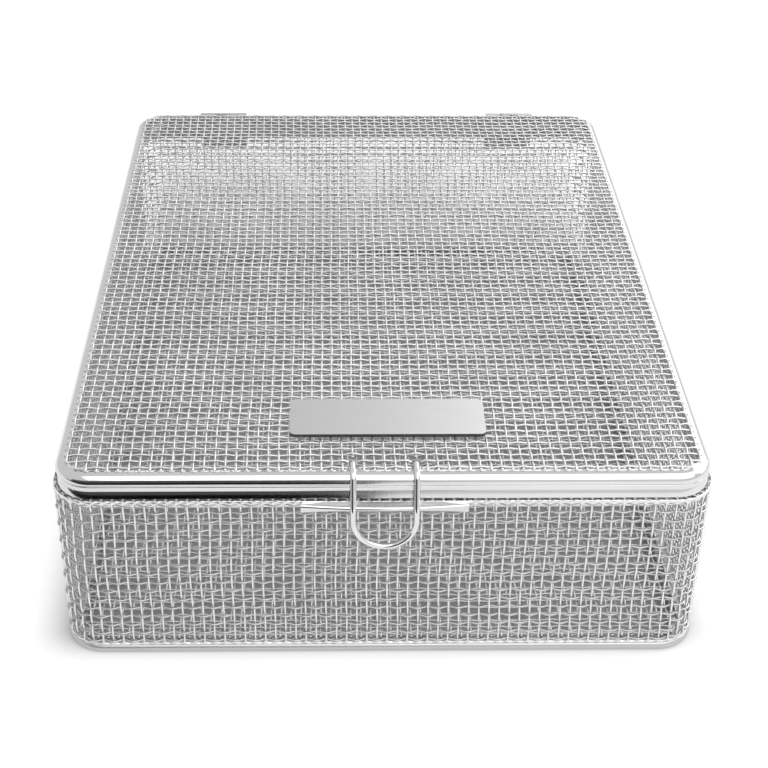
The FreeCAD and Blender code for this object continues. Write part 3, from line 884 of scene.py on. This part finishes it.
def tubeAlong(points, radius, sides, domeShare):
    # round wire through the points, without twist, with slightly domed ends
    neighbours = zip([points[0]] + points[:-1], points[1:] + [points[-1]])
    tangents = [(after - before).normalized() for before, after in neighbours]
    side = tangents[0].orthogonal().normalized()
    rings = []
    for point, tangent in zip(points, tangents):
        side = (side - tangent * side.dot(tangent)).normalized()
        rings.append((point, side, tangent.cross(side), radius))
    dome, narrow = radius * domeShare, radius * (1 - domeShare)
    first, last = rings[0], rings[-1]
    rings.insert(0, (points[0] - tangents[0] * dome, first[1], first[2], narrow))
    rings.append((points[-1] + tangents[-1] * dome, last[1], last[2], narrow))
    verts = []
    for centre, side, up, size in rings:
        for k in range(sides):
            t = 2 * math.pi * k / sides
            verts.append(
                tuple((centre + side * (math.cos(t) * size) + up * (math.sin(t) * size)) * mm)
            )
    return verts, sweptFaces(len(rings), sides)


def bailLine():
    b = bail
    x, bend, bendSteps = b["legX"], b["bend"], b["bendSteps"]
    turn = b["overZ"] - b["centreZ"]
    stubEnd = Vector((x + b["stub"] - b["endTrim"], b["pivotY"], b["pivotZ"]))
    heel = Vector((x, b["pivotY"], b["pivotZ"]))
    elbow = Vector((x, b["pivotY"], b["overZ"]))
    crown = Vector((x, b["centreY"], b["overZ"]))
    centre = Vector((x, b["centreY"], b["centreZ"]))
    knee = Vector((x, b["legY"], b["kneeZ"]))
    out = knee - centre
    slope = math.atan2(out.z, out.y) - math.acos(turn / out.length)
    leave = centre + Vector((0, math.cos(slope), math.sin(slope))) * turn
    loopStart = knee - Vector((0, 0, b["drop"]))
    loopMiddle = Vector((0, b["legY"], loopStart.z))
    bottom = loopMiddle - Vector((0, 0, x))
    points = [stubEnd]
    points += bendRun(stubEnd, heel, elbow, bend, bendSteps)
    points += bendRun(heel, elbow, crown, bend, bendSteps)
    points += arcRun(crown, centre, leave, b["crownSteps"])
    points += bendRun(leave, knee, loopStart, b["knee"], b["kneeSteps"])
    points += arcRun(loopStart, loopMiddle, bottom, b["loopSteps"])
    return points + [Vector((-p.x, p.y, p.z)) for p in points[-2::-1]]


def makeBail():
    verts, faces = tubeAlong(bailLine(), bail["radius"], bail["sides"], bail["domeShare"])
    piece = buildMesh(
        "bailWire", verts, faces, wireMetal, "bail", bail["smoothAngle"]
    )
    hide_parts("latch_bail")


makeBail()
print("bail bent")


# catch lip: a strip that bows out in its middle, with a brow on which the bail slides down
catchLip = {
    "length": 40.0,
    "top": 47.5,
    "height": 2.2,
    "back": -108.45,
    "thick": 0.9,
    "bow": 1.2,  # how far the middle stands out at the top
    "edge": 0.18,  # chamfer along the foot
    "brow": 0.7,  # radius of the upper edge
    "rise": 0.45,  # how far it climbs towards the wall
    "steps": 40,
    "browSteps": 8,
    "smoothAngle": 50.0,
}


def makeCatch():
    c = catchLip
    back, top, foot = c["back"], c["top"], c["top"] - c["height"]
    front, edge, brow = back - c["thick"], c["edge"], c["brow"]
    low = [(back, foot), (front + edge, foot), (front, foot + edge)]
    verts = []
    for i in range(c["steps"] + 1):
        t = i / c["steps"]
        upper = front - c["bow"] * (1 - (2 * t - 1) ** 2)
        high = arcPoints(upper + brow, top - brow, brow, 180, 90, c["browSteps"])
        section = low + high + [(back, top + c["rise"])]
        verts += [(c["length"] * (t - 0.5) * mm, y * mm, z * mm) for y, z in section]
    faces = sweptFaces(c["steps"] + 1, len(section))
    piece = buildMesh(
        "catchLip", verts, faces, stripMetal, "basket", c["smoothAngle"]
    )
    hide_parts("catch_lip")


makeCatch()
print("catch lip bowed")


# the frame's own solids keep their shape: each one's finish, and how much its edges are eased
solidFinishes = {
    "name_plate": (plateMetal, 0.16),
    "bail_hook_left": (satinMetal, 0.08),
    "bail_hook_right": (satinMetal, 0.08),
    "basket_leaf_left": (satinMetal, 0.0),
    "basket_leaf_right": (satinMetal, 0.0),
    "lid_strap_left": (satinMetal, 0.0),
    "lid_strap_right": (satinMetal, 0.0),
    "hinge_pin_left": (wireMetal, 0.0),
    "hinge_pin_right": (wireMetal, 0.0),
}
easing = {"joinWithin": 0.01, "segments": 3, "fromAngle": 40.0}


def dressSolids():
    for name, (metal, ease) in solidFinishes.items():
        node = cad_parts[name]
        node.data.materials.clear()
        node.data.materials.append(metal)
        weld = node.modifiers.new("joinEdges", "WELD")
        weld.merge_threshold = easing["joinWithin"] * mm
        if ease:
            bevel = node.modifiers.new("easeEdges", "BEVEL")
            bevel.width = ease * mm
            bevel.segments = easing["segments"]
            bevel.limit_method = "ANGLE"
            bevel.angle_limit = math.radians(easing["fromAngle"])
    print("solids dressed:", len(solidFinishes))


dressSolids()


# camera at the photograph's viewing angle
cameraSetup = {
    "place": (-13.05, -411.76, 275.81),
    "azimuth": -1.297,  # degrees, as the next two
    "elevation": 32.691,
    "roll": 0.585,
    "picture": 768,  # pixels across
    "focal": 1594.8,  # pixels
    "centre": (-24.0, 0.0),  # pixels from the picture's middle to the optical axis
    "sensor": 36,  # width
    "clip": (10.0, 20000.0),
}


def makeCamera():
    c = cameraSetup
    az, el, roll = (math.radians(c[key]) for key in ("azimuth", "elevation", "roll"))
    back = Vector((math.sin(az) * math.cos(el), -math.cos(az) * math.cos(el), math.sin(el)))
    level = (-back).cross(Vector((0, 0, 1))).normalized()
    steep = level.cross(-back)
    right = level * math.cos(roll) + steep * math.sin(roll)
    up = steep * math.cos(roll) - level * math.sin(roll)
    data = bpy.data.cameras.new("camera")
    data.lens = c["focal"] * c["sensor"] / c["picture"]
    data.shift_x = -c["centre"][0] / c["picture"]
    data.shift_y = c["centre"][1] / c["picture"]
    data.clip_start, data.clip_end = (distance * mm for distance in c["clip"])
    rows = [(right[i], up[i], back[i], c["place"][i] * mm) for i in range(3)]
    camera = placeObject("camera", data)
    camera.matrix_world = Matrix((*rows, (0, 0, 0, 1)))
    bpy.context.scene.camera = camera


makeCamera()


# studio: a white tent, as metal sees it and as it fills the shadows
tent = {"mirrorLevel": 0.82, "fillLevel": 0.6, "seenLevel": 1.0}


def makeTent():
    world = bpy.data.worlds.new("studio")
    bpy.context.scene.world = world
    world.use_nodes = True
    tree = world.node_tree
    tree.nodes.clear()
    rays = addNode(tree, "ShaderNodeLightPath").outputs
    mirrored, filling, seen = (
        addNode(
            tree, "ShaderNodeBackground", inputs={"Color": (1, 1, 1, 1), "Strength": tent[level]}
        ).outputs["Background"]
        for level in ("mirrorLevel", "fillLevel", "seenLevel")
    )
    shaded = addNode(
        tree, "ShaderNodeMixShader", inputs={0: rays["Is Diffuse Ray"], 1: mirrored, 2: filling}
    )
    mix = addNode(
        tree,
        "ShaderNodeMixShader",
        inputs={0: rays["Is Camera Ray"], 1: shaded.outputs["Shader"], 2: seen},
    )
    output = addNode(tree, "ShaderNodeOutputWorld")
    tree.links.new(mix.outputs["Shader"], output.inputs["Surface"])


def stagePlane(name, corners, material, glossyOnly=False):
    mesh = bpy.data.meshes.new(name)
    mesh.from_pydata([[value * mm for value in corner] for corner in corners], [], [(0, 1, 2, 3)])
    mesh.materials.append(material)
    plane = placeObject(name, mesh)
    if glossyOnly:
        plane.visible_camera = False
        plane.visible_diffuse = False
        plane.visible_shadow = False
        plane.visible_transmission = False


# sweep: white paper that burns out around the basket, with a painted shadow: a soft grey patch
# under and behind it, which deepens the real shade of the basket there
sweep = {
    "reach": 12000.0,
    "paper": "#f6f6f6",
    # patch: tone of the painted shadow
    "patch": "#b6b6b6",
    "beside": (74.0, 94.0),  # from the middle of the basket, where the painted shadow fades out
    "before": (98.0, 116.0),
    "behind": (125.0, 250.0),
    "burnShare": 0.75,  # share of glow in the paper, away from the painted shadow
    "glow": 1.15,
}


def makeSweep():
    spec = sweep
    material, tree, output = newMaterial("white studio sweep with painted shadow")
    place = addNode(tree, "ShaderNodeTexCoord").outputs["Object"]
    split = addNode(tree, "ShaderNodeSeparateXYZ", inputs={0: place}).outputs
    aside = addNode(tree, "ShaderNodeMath", {"operation": "ABSOLUTE"}, {0: split["X"]})
    ahead = addNode(tree, "ShaderNodeMath", {"operation": "MULTIPLY"}, {0: split["Y"], 1: -1.0})
    shadowZone = 1.0
    for value, (first, last) in (
        (split["Y"], spec["behind"]),
        (ahead.outputs[0], spec["before"]),
        (aside.outputs[0], spec["beside"]),
    ):
        fade = addNode(
            tree,
            "ShaderNodeMapRange",
            {"interpolation_type": "SMOOTHSTEP"},
            {
                "Value": value,
                "From Min": first * mm,
                "From Max": last * mm,
                "To Min": 1.0,
                "To Max": 0.0,
            },
        )
        both = {0: shadowZone, 1: fade.outputs["Result"]}
        shadowZone = addNode(tree, "ShaderNodeMath", {"operation": "MULTIPLY"}, both).outputs[0]
    tone = addNode(
        tree,
        "ShaderNodeMix",
        {"data_type": "RGBA"},
        {"Factor": shadowZone, 6: hexColour(spec["paper"]), 7: hexColour(spec["patch"])},
    )
    paper = addNode(tree, "ShaderNodeBsdfDiffuse", inputs={"Color": tone.outputs[2]})
    burnt = addNode(
        tree,
        "ShaderNodeMapRange",
        inputs={"Value": shadowZone, "To Min": spec["burnShare"], "To Max": 0.0},
    )
    glow = addNode(
        tree, "ShaderNodeEmission", inputs={"Color": (1, 1, 1, 1), "Strength": spec["glow"]}
    )
    mix = addNode(
        tree,
        "ShaderNodeMixShader",
        inputs={0: burnt.outputs["Result"], 1: paper.outputs["BSDF"], 2: glow.outputs["Emission"]},
    )
    tree.links.new(mix.outputs["Shader"], output.inputs["Surface"])
    r = spec["reach"]
    stagePlane("floor", [(-r, -r, 0), (r, -r, 0), (r, r, 0), (-r, r, 0)], material)


# flags: dark cards in front on the left that only reflections see, one lying and one upright
flags = {
    "left": -1600.0,
    "right": 30.0,
    "front": -1100.0,
    "low": {"tone": "#000000", "lift": 2.0, "back": -225.0, "backRight": 0.0},
    "side": {"tone": "#505050", "height": 550.0},
}


def makeFlag(name, finish, tone, corners):
    material, tree, output = newMaterial(finish)
    card = addNode(tree, "ShaderNodeEmission", inputs={"Color": hexColour(tone), "Strength": 1.0})
    tree.links.new(card.outputs["Emission"], output.inputs["Surface"])
    stagePlane(name, corners, material, True)


def makeFlags():
    low, side = flags["low"], flags["side"]
    left, right, front = flags["left"], flags["right"], flags["front"]
    lying = [(left, front), (right, front), (low["backRight"], low["back"]), (left, low["back"])]
    lying = [(x, y, low["lift"]) for x, y in lying]
    upright = [(left, 0.0), (right, 0.0), (right, side["height"]), (left, side["height"])]
    upright = [(x, front, z) for x, z in upright]
    makeFlag("lowFlag", "black flag", low["tone"], lying)
    makeFlag("sideFlag", "grey flag", side["tone"], upright)


# soft boxes, with their power in watts: above the camera, at the right, and behind at the right
softBoxes = {
    "keyBox": {
        "place": (350, -800, 1120),
        "target": (0, 0, 20),
        "size": (1800, 1500),
        "power": 11.0,
    },
    "rightBox": {
        "place": (850, 200, 600),
        "target": (0, 0, 30),
        "size": (900, 800),
        "power": 5.2,
    },
    "backBox": {
        "place": (850, 1000, 900),
        "target": (0, 0, 40),
        "size": (1600, 900),
        "power": 7.2,
    },
}


def makeSoftBoxes():
    for name, box in softBoxes.items():
        data = bpy.data.lights.new(name, "AREA")
        data.shape = "RECTANGLE"
        data.size, data.size_y = (length * mm for length in box["size"])
        data.energy = box["power"]
        lamp = placeObject(name, data)
        lamp.location = Vector(box["place"]) * mm
        lamp.rotation_mode = "QUATERNION"
        aim = Vector(box["target"]) - Vector(box["place"])
        lamp.rotation_quaternion = aim.to_track_quat("-Z", "Y")


makeTent()
makeSweep()
makeFlags()
makeSoftBoxes()

scene = bpy.context.scene
scene.view_settings.view_transform = "Standard"
print("studio lit")
